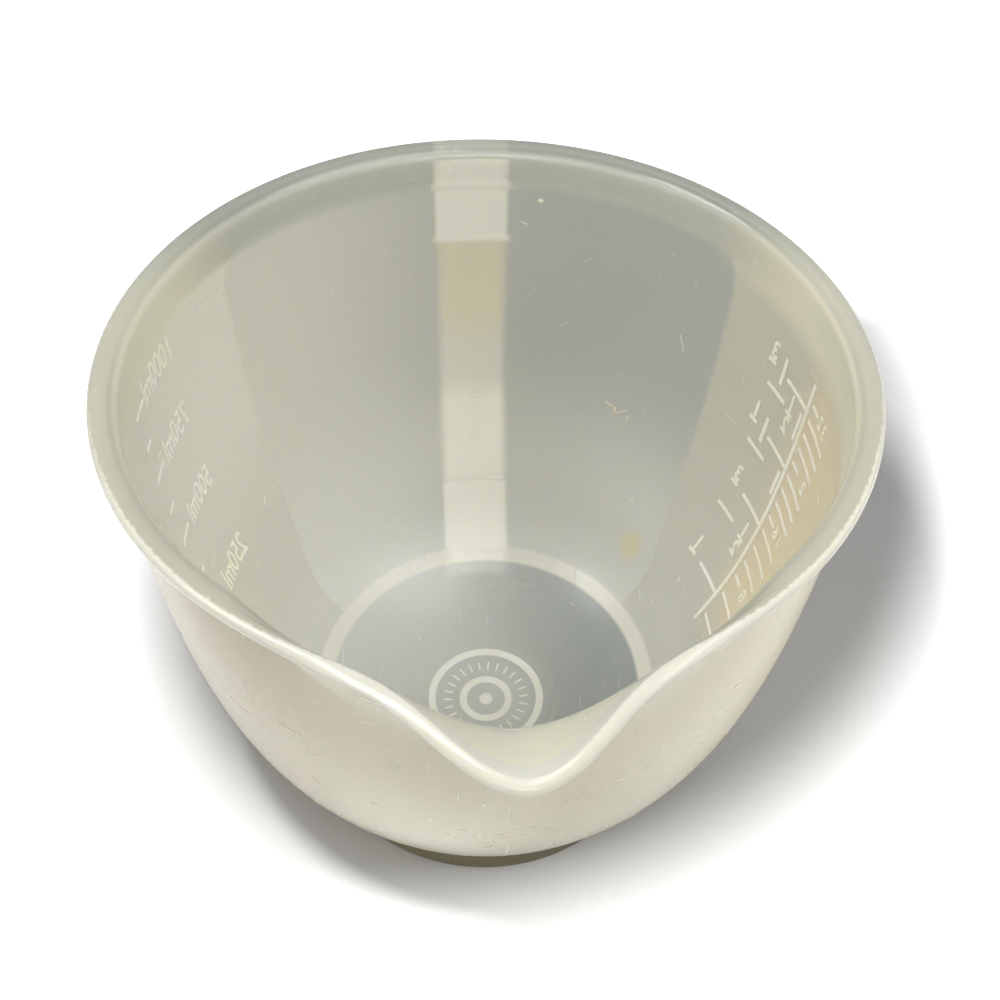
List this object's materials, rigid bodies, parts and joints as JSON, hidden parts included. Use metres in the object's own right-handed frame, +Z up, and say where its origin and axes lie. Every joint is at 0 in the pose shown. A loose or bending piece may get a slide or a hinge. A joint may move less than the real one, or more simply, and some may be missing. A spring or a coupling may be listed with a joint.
{
  "type": "measuring jug",
  "caption": "Translucent plastic measuring jug with a flat brim, a drawn-out pouring spout, a ribbed D-shaped handle and a flared foot ring.",
  "frame": {"origin": "on the surface the jug stands on, midway between the tip of the spout and the back of the handle, in the jug's plane of symmetry", "axes": "+Z up along the bowl's axis, +Y from the spout towards the handle, +X to the right of someone who looks from the spout to the handle"},
  "size_m": [0.144, 0.1932, 0.122],
  "materials": {
    "bowl_plastic": "satin, milky and translucent",
    "handle_plastic": "satin, milky and translucent",
    "foot_plastic": "satin, milky and translucent"
  },
  "bodies": {
    "root": {"bowl": "bowl_plastic", "handle": "handle_plastic", "foot_ring": "foot_plastic"}
  },
  "joints": []
}
